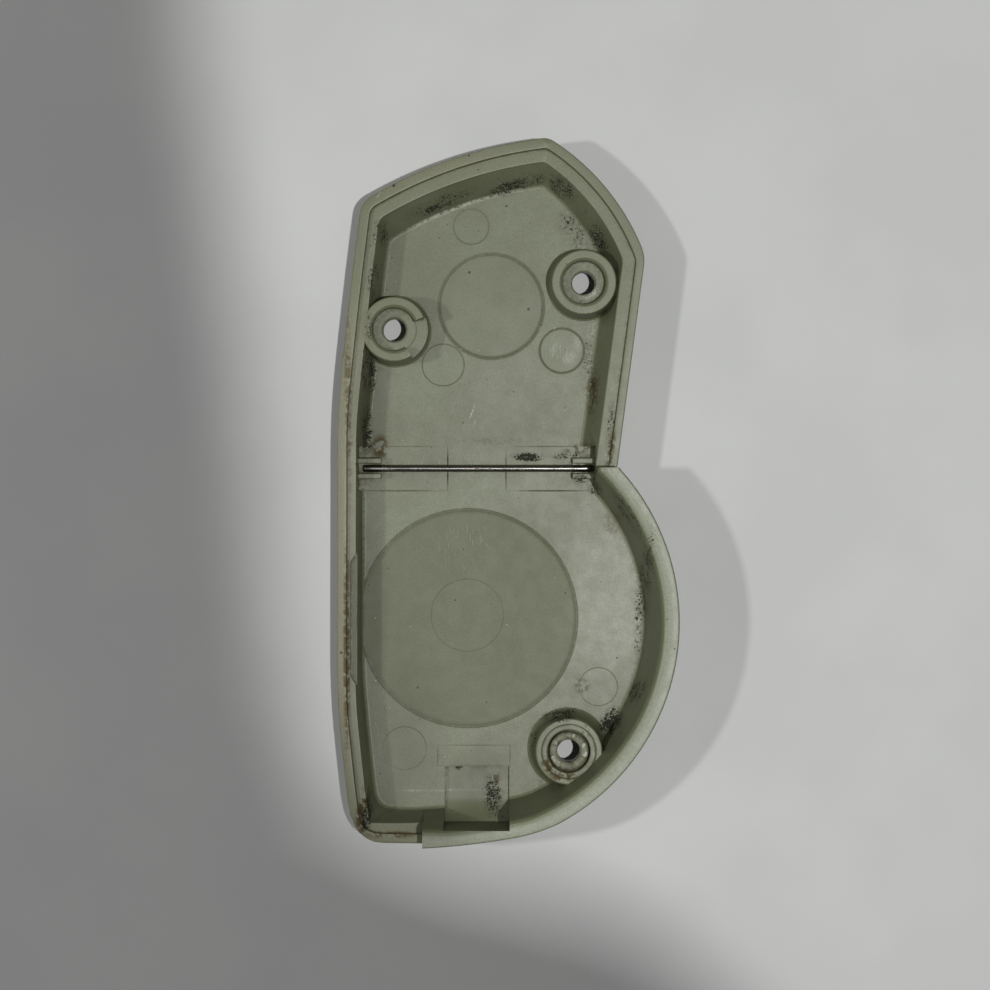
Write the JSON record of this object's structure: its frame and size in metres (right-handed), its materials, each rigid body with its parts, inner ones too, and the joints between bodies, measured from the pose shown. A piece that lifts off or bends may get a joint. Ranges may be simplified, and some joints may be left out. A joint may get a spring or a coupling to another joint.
{
  "type": "garage door opener cover half",
  "caption": "Moulded cover half of a garage door opener: stepped rim, raised round bay wall, screw bosses, and a loose steel pivot rod in two cradles.",
  "frame": {"origin": "middle of the bounding box, on the outer face that the cover lies on", "axes": "+Z out of the open side, +Y from the round wheel bay towards the peaked end, +X towards the round bay's bulge"},
  "size_m": [0.068, 0.1408, 0.02],
  "materials": {
    "aged_abs": "moulded, aged and dirty grey-green ABS",
    "drawn_steel": "drawn steel wire, tarnished",
    "broken_abs": "snapped ABS with a pale chipped edge"
  },
  "bodies": {
    "cover": {"cover_half": "aged_abs", "screw_post_stub": "broken_abs"},
    "rod": {"pivot_rod": "drawn_steel"}
  },
  "joints": [
    {"name": "pivot_rod_spin", "type": "hinge", "parent": "cover", "child": "rod", "pos_m": [-0.00609, 0.00451, 0.0047], "axis": [1, 0, 0], "continuous": true}
  ]
}
